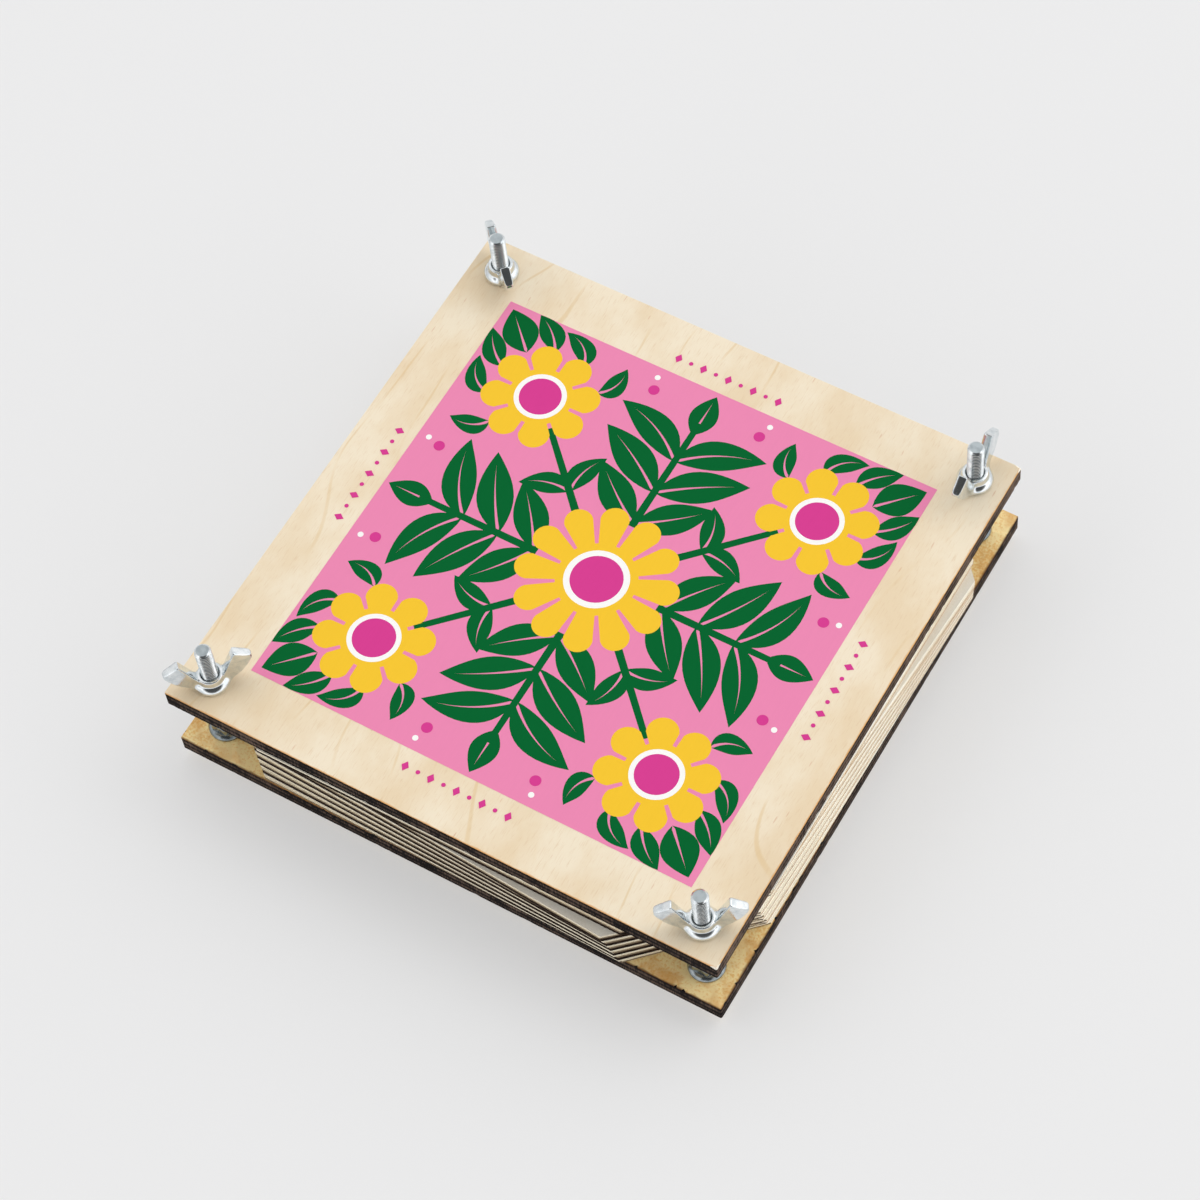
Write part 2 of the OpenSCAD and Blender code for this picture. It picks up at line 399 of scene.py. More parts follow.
@dataclass(frozen=True)
class ZincPlate(Finish):
    """Bright zinc plate on steel. The eye gets a clear bluish silver, sharp in its highlights and slightly
    uneven where the steel under it was rolled or cast."""

    bright: str = "#ECF0F1"
    dull: str = "#D6DDE0"
    roughness: float = 0.14
    ripple: float = 1.2 * MM
    ripple_depth: float = 0.02 * MM

    def shade(self, add: Adder) -> Node:
        """Builds the plate's nodes.

        Args:
            add: Adds a node to the material.

        Returns:
            The shader.
        """
        place = add("TexCoord").outputs["Object"]
        bloom = add("TexNoise", {"Vector": place, "Scale": 1 / (2.2 * MM), "Detail": 4.0, "Roughness": 0.6})
        tone = add("ValToRGB", {"Fac": bloom}, ramp=((0.35, self.dull), (0.6, self.bright)))
        gloss = add("MapRange", {
            "Value": bloom, "From Min": 0.3, "From Max": 0.7,
            "To Min": self.roughness + 0.07, "To Max": self.roughness - 0.03})
        dents = add("TexNoise", {"Vector": place, "Scale": 1 / self.ripple, "Detail": 2.0})
        relief = add("Bump", {"Height": dents, "Strength": 0.5, "Distance": self.ripple_depth})
        return add("BsdfPrincipled", {
            "Base Color": tone, "Metallic": 1.0, "Roughness": gloss, "Normal": relief})


@dataclass(frozen=True)
class KraftBoard(Finish):
    """Kraft corrugated board with pale liners. The eye gets cream faces with long fibres and a faint
    washboard where the flutes press through, tan sides, and dark openings along its cuts, painted as shade."""

    paper: str = "#D3B188"
    dark: str = "#AE8459"
    liner: str = "#F8EFDC"
    # Dark brown painted as the shade inside the flutes and in the flute openings along the cuts
    painted_flute_shade: str = "#3D2F25"
    flute: float = 3.4 * MM
    # Each paper face takes up about a ninth of the card's thickness
    face_share: float = 0.115
    # The outermost flutes are slit open along the sides, and show their paper
    slit_from: float = 76 * MM

    def shade_mask_in_flutes(self, add: Adder) -> Node:
        """Finds where shade is painted: on the walls inside the flutes and on the cuts across them.

        The walls lie between the faces and turn neither forwards nor backwards, as the cuts do.

        Args:
            add: Adds a node to the material.

        Returns:
            1 inside a flute or on a cut across the flutes, 0 elsewhere.
        """
        spot = add("TexCoord")
        level = add("SeparateXYZ", {0: spot.outputs["Generated"]})
        turn = add("SeparateXYZ", {0: spot.outputs["Normal"]})
        within = add("Math", {0: level.outputs["Z"], 1: 0.5, 2: 0.5 - self.face_share}, operation="COMPARE")
        level_y = add("Math", {0: turn.outputs["Y"], 1: 0.0, 2: 0.5}, operation="COMPARE")
        across = add("SeparateXYZ", {0: spot.outputs["Object"]})
        inner = add("Math", {0: across.outputs["X"], 1: 0.0, 2: self.slit_from}, operation="COMPARE")
        sides = add("Math", {0: inner, 1: level_y}, operation="MULTIPLY")
        walls = add("Math", {0: within, 1: sides}, operation="MULTIPLY")
        # The cuts across the flutes take the painted shade of their openings
        ends = add("Math", {0: 1.0, 1: level_y}, operation="SUBTRACT")
        return add("Math", {0: walls, 1: ends}, operation="MAXIMUM")

    def shade(self, add: Adder) -> Node:
        """Builds the board's nodes.

        Args:
            add: Adds a node to the material.

        Returns:
            The shader.
        """
        place = add("TexCoord").outputs["Object"]
        fibres_map = add("Mapping", {
            "Vector": place, "Scale": (1 / (0.25 * MM), 1 / (1.6 * MM), 1 / (0.12 * MM))})
        fibres = add("TexNoise", {"Vector": fibres_map, "Scale": 1.0, "Detail": 4.0, "Roughness": 0.7})
        cloud = add("TexNoise", {"Vector": place, "Scale": 1 / (14 * MM), "Detail": 3.0})
        both = add("Math", {0: fibres, 1: cloud}, operation="ADD")
        share = add("MapRange", {"Value": both, "From Min": 0.72, "From Max": 1.28})
        tone = add("Mix", {0: share, 6: self.dark, 7: self.paper}, data_type="RGBA")
        turn = add("SeparateXYZ", {0: add("TexCoord").outputs["Normal"]})
        flat = add("Math", {0: turn.outputs["Z"]}, operation="ABSOLUTE")
        across = add("SeparateXYZ", {0: place})
        aside = add("Math", {0: across.outputs["X"]}, operation="ABSOLUTE")
        slit = add("Math", {0: aside, 1: self.slit_from}, operation="GREATER_THAN")
        open_flat = add("Math", {0: slit, 1: 0.5, 2: flat}, operation="MULTIPLY_ADD")
        lined = add("MapRange", {"Value": open_flat, "From Min": 0.9, "From Max": 0.98, "To Max": 0.92})
        faced = add("Mix", {0: lined, 6: tone, 7: self.liner}, data_type="RGBA")
        # Painted shade: the flute walls and the cuts across the flutes are mixed to dark brown
        shaded = add("Mix", {0: self.shade_mask_in_flutes(add), 6: faced, 7: self.painted_flute_shade}, data_type="RGBA")
        flutes = add("Mapping", {"Vector": place, "Scale": (WAVE_REPEAT / self.flute, 0.0, 0.0)})
        washboard = add("TexWave", {"Vector": flutes, "Scale": 1.0}, bands_direction="X")
        relief = add("Bump", {
            "Height": washboard.outputs["Fac"], "Strength": 0.15, "Distance": 0.08 * MM})
        fuzz = add("Bump", {"Height": fibres, "Strength": 0.5, "Distance": 0.04 * MM, "Normal": relief})
        return add("BsdfPrincipled", {
            "Base Color": shaded, "Roughness": 0.85, "IOR": 1.4, "Specular IOR Level": 0.25, "Normal": fuzz})


@dataclass(frozen=True)
class BlottingPaper(Finish):
    """Thick unsized cotton paper. The eye gets a soft matt off-white with felted fibres and no shine."""

    paper: str = "#FEFAEE"
    shade_tone: str = "#F2EBDA"
    # Colour painted on the cuts facing front and back; deep brown on the lower sheet of a pair, as painted
    # shade
    cut: str = "#E9DFC8"

    def shade(self, add: Adder) -> Node:
        """Builds the paper's nodes.

        Args:
            add: Adds a node to the material.

        Returns:
            The shader.
        """
        place = add("TexCoord").outputs["Object"]
        felt = add("TexNoise", {"Vector": place, "Scale": 1 / (0.5 * MM), "Detail": 5.0, "Roughness": 0.7})
        cloud = add("TexNoise", {"Vector": place, "Scale": 1 / (20 * MM), "Detail": 2.0})
        both = add("Math", {0: felt, 1: cloud}, operation="ADD")
        share = add("MapRange", {"Value": both, "From Min": 0.7, "From Max": 1.2})
        tone = add("Mix", {0: share, 6: self.shade_tone, 7: self.paper}, data_type="RGBA")
        # The cuts facing front and back are painted darker, deep brown on the lower sheet of a pair, as the
        # shade on that recessed sheet
        turn = add("SeparateXYZ", {0: add("TexCoord").outputs["Normal"]})
        level = add("Math", {0: turn.outputs["Y"]}, operation="ABSOLUTE")
        ends = add("MapRange", {"Value": level, "From Min": 0.5, "From Max": 0.7})
        with_cut_shade = add("Mix", {0: ends, 6: tone, 7: self.cut}, data_type="RGBA")
        relief = add("Bump", {"Height": felt, "Strength": 0.6, "Distance": 0.06 * MM})
        return add("BsdfPrincipled", {
            "Base Color": with_cut_shade, "Roughness": 0.95, "IOR": 1.35, "Normal": relief})


@dataclass(frozen=True)
class PaperSweep(Finish):
    """Matt white studio paper, lit from below too. The eye gets an even pale ground with soft shadows."""

    colour: str = "#E8E8E8"
    glow: str = "#F0F0F0"
    glow_share: float = 0.5

    def shade(self, add: Adder) -> Node:
        """Builds the paper's nodes.

        Args:
            add: Adds a node to the material.

        Returns:
            The shader.
        """
        place = add("TexCoord").outputs["Object"]
        tooth = add("TexNoise", {"Vector": place, "Scale": 1 / (1.5 * MM), "Detail": 3.0})
        relief = add("Bump", {"Height": tooth, "Strength": 0.1, "Distance": 0.05 * MM})
        paper = add("BsdfPrincipled", {
            "Base Color": self.colour, "Roughness": 0.9, "Specular IOR Level": 0.2, "Normal": relief})
        glow = add("Emission", {"Color": self.glow, "Strength": 1.0})
        path = add("LightPath")
        seen = add("Math", {0: path.outputs["Is Camera Ray"], 1: path.outputs["Is Glossy Ray"]},
                   operation="MAXIMUM")
        share = add("Math", {0: seen, 1: self.glow_share}, operation="MULTIPLY")
        return add("MixShader", {0: share, 1: paper, 2: glow})


@dataclass
class Shell:
    """Points and faces of closed surfaces, gathered ring by ring."""

    points: list[Vector] = field(default_factory=list)
    faces: list[tuple[int, ...]] = field(default_factory=list)
    slots: list[int] = field(default_factory=list)
    creases: dict[tuple[int, int], float] = field(default_factory=dict)

    def ring(self, points: Iterable[Sequence[float]]) -> list[int]:
        """Adds points.

        Args:
            points: Places of the points.

        Returns:
            Their numbers, in order.
        """
        start = len(self.points)
        self.points.extend(Vector(p) for p in points)
        return list(range(start, len(self.points)))

    def face(self, corners: Sequence[int], slot: int = 0) -> None:
        """Adds one face."""
        self.faces.append(tuple(corners))
        self.slots.append(slot)

    def band(self, low: Sequence[int], high: Sequence[int], slot: int = 0) -> None:
        """Joins two rings of as many points with four-sided faces.

        Args:
            low: Numbers of the first ring's points.
            high: Numbers of the second ring's points.
            slot: Material slot of the faces.
        """
        for i in range(len(low)):
            j = (i + 1) % len(low)
            self.face((low[i], low[j], high[j], high[i]), slot)

    def fan(self, ring: Sequence[int], middle: Sequence[float], slot: int = 0) -> None:
        """Closes a ring with triangles that meet in a middle point.

        Args:
            ring: Numbers of the ring's points.
            middle: Place of the middle point.
            slot: Material slot of the faces.
        """
        centre = self.ring([middle])[0]
        for i in range(len(ring)):
            self.face((ring[i], ring[(i + 1) % len(ring)], centre), slot)

    def crease(self, path: Sequence[int], sharpness: float) -> None:
        """Marks the edges along a path for a subdivision surface, from 0, soft, to 1, sharp."""
        for a, b in zip(path, path[1:]):
            self.creases[min(a, b), max(a, b)] = sharpness

    def mesh(self, name: str, finishes: Sequence[Finish], sharp_degrees: float = 38.0) -> bpy.types.Mesh:
        """Builds the mesh, with its normals outwards, smooth but for its sharp edges.

        Args:
            name: Name of the mesh.
            finishes: The finish of each material slot.
            sharp_degrees: Edges whose faces turn by more than this are sharp.

        Returns:
            The mesh.
        """
        mesh = bpy.data.meshes.new(name)
        mesh.from_pydata([tuple(p) for p in self.points], [], self.faces)
        for finish in finishes:
            mesh.materials.append(finish.material())
        mesh.polygons.foreach_set("material_index", self.slots)
        shape = bmesh.new()
        shape.from_mesh(mesh)
        bmesh.ops.recalc_face_normals(shape, faces=shape.faces)
        layer = shape.edges.layers.float.new("crease_edge") if self.creases else None
        for face in shape.faces:
            face.smooth = True
        for edge in shape.edges:
            edge.smooth = edge.calc_face_angle(0.0) < math.radians(sharp_degrees)
            if layer is not None:
                ends = sorted(v.index for v in edge.verts)
                edge[layer] = self.creases.get((ends[0], ends[1]), 0.0)
        shape.to_mesh(mesh)
        shape.free()
        return mesh


def put_in_scene(name: str, data: bpy.types.ID) -> bpy.types.Object:
    """Adds an object to the scene.

    Args:
        name: Its name.
        data: Its mesh, camera or lamp.

    Returns:
        The object.
    """
    thing = bpy.data.objects.new(name, data)
    bpy.context.scene.collection.objects.link(thing)
    return thing


def place_piece(name: str, mesh: bpy.types.Mesh, body: str, nodes: Sequence[str] = (),
                matrix: Matrix | None = None) -> bpy.types.Object:
    """Puts a finished mesh in the scene, on its body.

    Args:
        name: Name of the piece.
        mesh: Its mesh.
        body: The body that it rides on.
        nodes: The nodes that it replaces.
        matrix: Moves a copy of the mesh into place, if it isn't there already.

    Returns:
        The object.
    """
    if matrix is not None:
        mesh = mesh.copy()
        mesh.transform(matrix)
    piece = put_in_scene(name, mesh)
    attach(piece, body)
    if nodes:
        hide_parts(*nodes)
    log.info("%s on %s: %d faces", name, body, len(mesh.polygons))
    return piece


def stand_on(node: str, turn: float = 0.0) -> Matrix:
    """Works out the move that stands a mesh where a node stands.

    Args:
        node: The node.
        turn: How far the mesh is turned about its axis, in radians.

    Returns:
        The move.
    """
    low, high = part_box(node)
    foot = Matrix.Translation(((low.x + high.x) / 2, (low.y + high.y) / 2, low.z))
    return foot @ Matrix.Rotation(turn, 4, "Z")


def direction(heading: float, elevation: float) -> Vector:
    """Returns the way at a heading from +X and an elevation, both in degrees."""
    a, e = math.radians(heading), math.radians(elevation)
    return Vector((math.cos(a) * math.cos(e), math.sin(a) * math.cos(e), math.sin(e)))


def circle(radius: float, z: float, steps: int, middle: Plane = CENTRE) -> list[Vector]:
    """Returns the points of a level circle, counterclockwise from +X."""
    turns = [math.tau * i / steps for i in range(steps)]
    return [Vector((middle[0] + radius * math.cos(t), middle[1] + radius * math.sin(t), z)) for t in turns]


@dataclass
class Board:
    """A square plywood board, cut by laser: veneer faces, charred edges and four bolt holes."""

    node: str
    body: str
    slot: str
    face: BirchVeneer
    hole_radius: float
    ragged_below: float = 0.0
    nicks_above: float = 0.0
    # Corners where the upper rim is chipped away, its pale split wood standing in for a highlight there, and
    # places where the beam has burnt a notch into it
    highlight_chips: tuple[Plane, ...] = ()
    chip_width: float = 2.2 * MM
    chip_inset: float = 0.6 * MM
    chip_drop: float = 0.7 * MM
    bare_from: float = 0.05
    burns: tuple[Plane, ...] = ()
    burn_width: float = 0.42 * MM
    burn_depth: float = 0.75 * MM
    # How much lighter the right-hand cut is painted, as the light that falls on it from the right
    lit_right_edge: float = 0.18
    # The cut face waves by this much, and its nicks and splinters are about this long
    wave_depth: float = 0.025 * MM
    wave_length: float = 4 * MM
    wave_levels: tuple[float, ...] = (0.25, 0.45, 0.65)
    nick_length: float = 2.4 * MM
    splinter_length: float = 0.9 * MM
    # A nick starts where its noise passes the onset, and splinters roughen it by their share of its depth
    nick_onset: float = 0.30
    nick_gain: float = 1.7
    splinter_share: float = 0.16
    corner_radius: float = 0.5 * MM
    rim: float = 0.11 * MM
    step: float = 0.4 * MM
    arc_steps: int = 5
    hole_steps: int = 32

    def __post_init__(self) -> None:
        """Takes the board's size from its node."""
        self.low, self.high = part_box(self.node)
        self.half = self.high.x
        bolt_low, bolt_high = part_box("coach_bolt_back_right")
        self.bolt_at = (bolt_low.x + bolt_high.x) / 2

    def outline(self) -> list[tuple[Vector, Vector]]:
        """Walks round the board.

        Returns:
            Points of the outline with their outward directions, counterclockwise.
        """
        inner = self.half - self.corner_radius
        straight = round(2 * inner / self.step)
        walk = []
        for quarter in range(4):
            turn = Matrix.Rotation(quarter * math.pi / 2, 3, "Z")
            for i in range(straight):
                point = Vector((self.half, -inner + 2 * inner * i / straight, 0))
                walk.append((turn @ point, turn @ Vector((1, 0, 0))))
            for i in range(self.arc_steps):
                a = math.pi / 2 * i / self.arc_steps
                out = Vector((math.cos(a), math.sin(a), 0))
                walk.append((turn @ (Vector((inner, inner, 0)) + out * self.corner_radius), turn @ out))
        return walk

    @staticmethod
    def nearness(point: Vector, spots: Sequence[Plane], reach: float) -> float:
        """Says how near the nearest of some spots is to a point, from 0 at the reach to 1 at the spot."""
        shares = (1 - (point.xy - Vector(spot)).length / reach for spot in spots)
        return max((*shares, 0.0))

    def nick(self, point: Vector, depth: float, seed: float) -> float:
        """Works out how far a burnt nick bites in at a point of the outline.

        Args:
            point: The point.
            depth: About the depth of the largest nick.
            seed: Sets one row of nicks apart from another.

        Returns:
            How far it bites in.
        """
        close = noise.noise(Vector((point.x, point.y, seed)) / self.nick_length)
        fine = noise.noise(Vector((point.x, point.y, seed + 7)) / self.splinter_length)
        nick = depth * max(0.0, close - self.nick_onset) * self.nick_gain
        return nick + depth * self.splinter_share * max(0.0, fine)

    def kept(self, point: Vector, inset: float) -> float:
        """Keeps an inset small enough near a corner that the two edges don't cross there."""
        to_corner = self.half - self.corner_radius - min(abs(point.x), abs(point.y))
        return min(inset, 0.9 * (self.corner_radius + max(0.0, to_corner)))

    def build(self) -> None:
        """Makes the board."""
        shell = Shell()
        walk = self.outline()
        low_bites = [self.nick(p, self.ragged_below, seed=3.0) for p, _ in walk]
        high_bites = [self.nick(p, self.nicks_above, seed=11.0) for p, _ in walk]
        notches = [self.burn_depth * self.nearness(p, self.burns, self.burn_width) for p, _ in walk]
        high_bites = [bite + notch for bite, notch in zip(high_bites, notches)]
        splits = [self.nearness(p, self.highlight_chips, self.chip_width) for p, _ in walk]
        bottom, top = self.low.z, self.high.z
        thickness = top - bottom

        def ring_at(inset: Callable[[int], float], height: Callable[[int], float]) -> list[int]:
            """Adds a ring round the board, each point set in and at a height of its own."""
            return shell.ring(
                (p - out * self.kept(p, inset(i))).xy.to_3d() + Vector((0, 0, height(i)))
                for i, (p, out) in enumerate(walk))

        # A rim's two rings take shares of the rim and of the bites, so that a bite slants into the edge
        rim = self.rim
        rings = [
            ring_at(lambda i: rim + 0.7 * low_bites[i], lambda i: bottom),
            ring_at(lambda i: 0.25 * rim + 0.2 * low_bites[i],
                    lambda i: bottom + 0.7 * rim + 0.9 * low_bites[i])]
        for share in self.wave_levels:
            # The offset sets one level's waves apart from another's
            offset = Vector((0, 0, share * 9))
            waves = [noise.noise(p / self.wave_length + offset) for p, _ in walk]
            rings.append(ring_at(
                lambda i, waves=waves: self.wave_depth * (1 + waves[i]),
                lambda i, share=share: bottom + share * thickness))
        rings.append(ring_at(
            lambda i: 0.25 * rim + 0.15 * high_bites[i],
            lambda i: top - 0.7 * rim - 0.5 * high_bites[i] - self.chip_drop * splits[i]))
        rings.append(ring_at(lambda i: rim + high_bites[i] + self.chip_inset * splits[i], lambda i: top))
        for low_ring, high_ring in zip(rings, rings[1:]):
            for i in range(len(walk)):
                j = (i + 1) % len(walk)
                # Slot 1 is charred; on the upper rim 2 is pale split wood, a painted highlight at the
                # chipped corners, and 0 is veneer where nothing bites in
                slot = 1
                if high_ring is rings[-1]:
                    bare = splits[i] + splits[j] > self.bare_from
                    notched = high_bites[i] + high_bites[j] > rim
                    slot = 2 if bare else int(notched)
                shell.face((low_ring[i], low_ring[j], high_ring[j], high_ring[i]), slot)
        holes = self.holes(shell)
        self.fill(shell, [rings[0], *(h[0] for h in holes)])
        self.fill(shell, [rings[-1], *(h[1] for h in holes)])
        edge = CharredEdge(f"Birch plywood edge, laser cut, {self.node}", floor=bottom,
                           lit_right_share=self.lit_right_edge)
        # Pale split wood at the chipped corners, painted as a highlight there
        split = BirchVeneer("Birch plywood, split, painted highlight", self.half, scorch_width=0.01 * MM, mid="#F6EAD3",
                            pale="#FFF8EA")
        mesh = shell.mesh(self.node, [self.face, edge, split])
        place_piece(f"{self.node}_dressed", mesh, self.body, [self.node])

    def holes(self, shell: Shell) -> list[tuple[list[int], list[int]]]:
        """Adds the walls of the four holes.

        Args:
            shell: The board's shell.

        Returns:
            The lowest and highest ring of each hole.
        """
        ends = []
        for sx, sy in ((-1, -1), (1, -1), (1, 1), (-1, 1)):
            middle = (sx * self.bolt_at, sy * self.bolt_at)
            low, high = (shell.ring(circle(self.hole_radius, z, self.hole_steps, middle))
                         for z in (self.low.z, self.high.z))
            shell.band(low, high, 1)
            ends.append((low, high))
        return ends

    @staticmethod
    def fill(shell: Shell, loops: Sequence[Sequence[int]]) -> None:
        """Fills a level face between its outline and its holes.

        Args:
            shell: The board's shell.
            loops: The outline, then the holes.
        """
        numbers = [n for loop in loops for n in loop]
        places = {n: i for i, n in enumerate(numbers)}
        edges = [(places[a], places[b]) for loop in loops for a, b in zip(loop, [*loop[1:], loop[0]])]
        flat = [Vector(shell.points[n].xy) / MM for n in numbers]
        _, _, faces, *_ = delaunay_2d_cdt(flat, edges, [], INSIDE, BOARD_GAP)
        holes = [sum((shell.points[n].xy for n in loop), Vector((0, 0))) / len(loop) for loop in loops[1:]]
        reach = [(shell.points[loop[0]].xy - centre).length for loop, centre in zip(loops[1:], holes)]
        # Triangles whose middle lies in a hole are left out
        for face in faces:
            corners = [numbers[i] for i in face]
            centre = sum((shell.points[n].xy for n in corners), Vector((0, 0))) / 3
            if all((centre - hole).length > 0.999 * r for hole, r in zip(holes, reach)):
                shell.face(corners, 0)


@dataclass(frozen=True)
class Motif:
    """One printed shape: its ink and its outline in millimetres."""

    ink: Ink
    outline: list[Plane]


def from_heading(start: Plane, heading: float, distance: float) -> Plane:
    """Returns the point at a distance from another, along a heading in degrees."""
    angle = math.radians(heading)
    return start[0] + distance * math.cos(angle), start[1] + distance * math.sin(angle)


@dataclass
class FolkPrint:
    """A generic folk pattern of daisies and split leaves, printed in five inks on the top face."""

    face_z: float
    half: float = 72.0
    film: float = 0.05 * MM
    film_step: float = 0.008 * MM
    # The petals of a daisy fill this share of the circle at that share of its radius
    fill_share: float = 0.93
    girth_share: float = 0.72
    # Where its petals start, and how far its yellow and its white ring reach, as shares of its eye
    petal_root_share: float = 0.8
    yellow_share: float = 1.55
    white_share: float = 1.24
    stem_width: float = 2.4
    stem_end_share: float = 0.4
    # Pairs of leaves along a sprig, in millimetres and degrees: distance from the middle, spread, length,
    # width and bend
    sprig_pairs: tuple[tuple[float, ...], ...] = (
        (21.0, 58, 24.0, 10.4, -6), (33.0, 51, 28.0, 11.0, 8), (45.0, 44, 27.0, 10.4, 20))
    # Pairs of leaves round a corner's daisy: spread, turn, length and width
    corner_pairs: tuple[tuple[float, ...], ...] = ((30, 17, 14.4, 7.6), (66, 38, 13.4, 7.2))
    motifs: list[Motif] = field(default_factory=list)

    def disc(self, ink: Ink, centre: Plane, radius: float, steps: int = 40) -> None:
        """Adds a round dot."""
        outline = [from_heading(centre, 360 * i / steps, radius) for i in range(steps)]
        self.motifs.append(Motif(ink, outline))

    def lozenge(self, ink: Ink, centre: Plane, length: float, width: float, heading: float) -> None:
        """Adds a diamond, its length along a heading."""
        corners = enumerate((length / 2, width / 2) * 2)
        self.motifs.append(Motif(ink, [from_heading(centre, heading + 90 * i, half) for i, half in corners]))

    def petal(self, centre: Plane, heading: float, near: float, far: float, width: float) -> None:
        """Adds a round-ended petal between two distances from a flower's centre.

        Args:
            centre: The flower's centre.
            heading: Direction of the petal in degrees.
            near: Where it starts.
            far: Where it ends.
            width: Its width.
        """
        steps, root_share = 14, 0.18
        radius = width / 2
        points = []
        for i in range(steps + 1):
            a = -math.pi / 2 + math.pi * i / steps
            points.append((far - radius + radius * math.cos(a), radius * math.sin(a)))
        points += [(near, width * root_share), (near, -width * root_share)]
        c, s = math.cos(math.radians(heading)), math.sin(math.radians(heading))
        outline = [(centre[0] + x * c - y * s, centre[1] + x * s + y * c) for x, y in points]
        self.motifs.append(Motif(Ink.YELLOW, outline))

    def daisy(self, centre: Plane, outer: float, eye: float, petals: int, turn: float) -> None:
        """Adds a flower: petals, a white ring and an eye.

        Args:
            centre: Its centre.
            outer: Its radius.
            eye: Radius of the eye.
            petals: Number of petals.
            turn: Heading of the first petal in degrees.
        """
        width = math.tau * self.girth_share * outer / petals * self.fill_share
        for k in range(petals):
            self.petal(centre, turn + 360 * k / petals, self.petal_root_share * eye, outer, width)
        self.disc(Ink.YELLOW, centre, self.yellow_share * eye)
        self.disc(Ink.WHITE, centre, self.white_share * eye)
        self.disc(Ink.MAGENTA, centre, eye)

    def stem(self, near: float, heading: float, length: float) -> None:
        """Adds a straight stem that thins a little towards its end.

        Args:
            near: Its start's distance from the middle of the print.
            heading: Its direction in degrees.
            length: Its length.
        """
        start = from_heading(CENTRE, heading, near)
        end = from_heading(start, heading, length)
        root, tip = self.stem_width / 2, self.stem_end_share * self.stem_width
        corners = ((start, -90, root), (end, -90, tip), (end, 90, tip), (start, 90, root))
        outline = [from_heading(foot, heading + turn, half) for foot, turn, half in corners]
        self.motifs.append(Motif(Ink.GREEN, outline))

    def leaf(self, root: Plane, heading: float, length: float, width: float, bend: float = 0.0) -> None:
        """Adds the two halves of a broad leaf, on either side of a bare midrib.

        Args:
            root: Where the leaf starts.
            heading: Its direction in degrees.
            length: Its length.
            width: Its width.
            bend: How far its tip turns aside, in degrees.
        """
        # The bare midrib is 1 mm wide at the root and ends before the tip; a lower belly moves the broadest
        # part towards the root, and a lower roundness makes the halves fuller
        steps, rib, rib_end, belly, roundness = 14, 1.0, 0.82, 0.88, 0.95
        for side in (1, -1):
            outer, inner = [], []
            for i in range(steps + 1):
                t = i / steps
                a = heading + bend * t
                spine = from_heading(root, a, length * t)
                reach = width / 2 * math.sin(math.pi * t ** belly) ** roundness if 0 < i < steps else 0.0
                gap = min(rib / 2 * max(0.0, 1 - t / rib_end), reach)
                outer.append(from_heading(spine, a + 90 * side, reach))
                inner.append(from_heading(spine, a + 90 * side, gap))
            self.motifs.append(Motif(Ink.GREEN, outer + inner[-2:0:-1]))

    def design(self) -> None:
        """Draws the whole pattern, the same in each quarter."""
        edge = self.half
        self.motifs.append(Motif(Ink.PINK, [(-edge, -edge), (edge, -edge), (edge, edge), (-edge, edge)]))
        for quarter in range(4):
            self.axis_sprig(90.0 * quarter)
            self.corner_flower(45 + 90.0 * quarter)
            self.margin_row(90.0 * quarter)
        self.daisy(CENTRE, outer=24.5, eye=7.8, petals=12, turn=15.0)

    def axis_sprig(self, heading: float) -> None:
        """Draws a sprig of leaf pairs from the middle to an edge.

        Args:
            heading: Way from the middle to the edge, in degrees.
        """
        self.stem(20, heading, length=40)
        self.leaf(from_heading(CENTRE, heading, 55.5), heading, length=15.0, width=8.4)
        for distance, spread, length, width, bend in self.sprig_pairs:
            for side in (1, -1):
                root = from_heading(CENTRE, heading, distance)
                self.leaf(root, heading + side * spread, length, width, side * bend)

    def corner_flower(self, heading: float) -> None:
        """Draws a corner's daisy with its stem, its leaves and the dots beside it.

        Args:
            heading: Way from the middle to the corner, in degrees.
        """
        centre = from_heading(CENTRE, heading, 46.5 * math.sqrt(2))
        self.stem(22, heading, length=32)
        self.leaf(from_heading(centre, heading, 16.5), heading, length=16.5, width=11.0)
        for side in (1, -1):
            root = from_heading(CENTRE, heading, 31)
            self.leaf(root, heading + side * 34, length=15.5, width=7.6, bend=side * 26)
            for spread, turn, length, width in self.corner_pairs:
                root = from_heading(centre, heading + side * spread, 16.2)
                self.leaf(root, heading + side * turn, length, width, bend=-1.15 * side * turn)
            outward = heading + side * 103
            root = from_heading(centre, outward, 17)
            self.leaf(root, outward, length=12.0, width=7.0, bend=-40 * side)
            for ink, distance, radius in ((Ink.MAGENTA, 66.5, 1.7), (Ink.WHITE, 71, 0.9)):
                self.disc(ink, from_heading(CENTRE, heading + side * 29.5, distance), radius, steps=20)
        self.daisy(centre, outer=18.0, eye=6.4, petals=8, turn=heading + 22.5)

    def margin_row(self, heading: float) -> None:
        """Draws a row of lozenges and dots in the bare margin beyond an edge.

        Args:
            heading: Way from the middle to the edge, in degrees.
        """
        out, gap, count = 77.3, 4.2, 4
        foot = from_heading(CENTRE, heading, out)
        for k in range(-count, count + 1):
            place = from_heading(foot, heading + 90, gap * k)
            if k % 2:
                self.disc(Ink.MAGENTA, place, radius=0.65, steps=16)
            else:
                self.lozenge(Ink.MAGENTA, place, length=3.2, width=2.3, heading=heading)

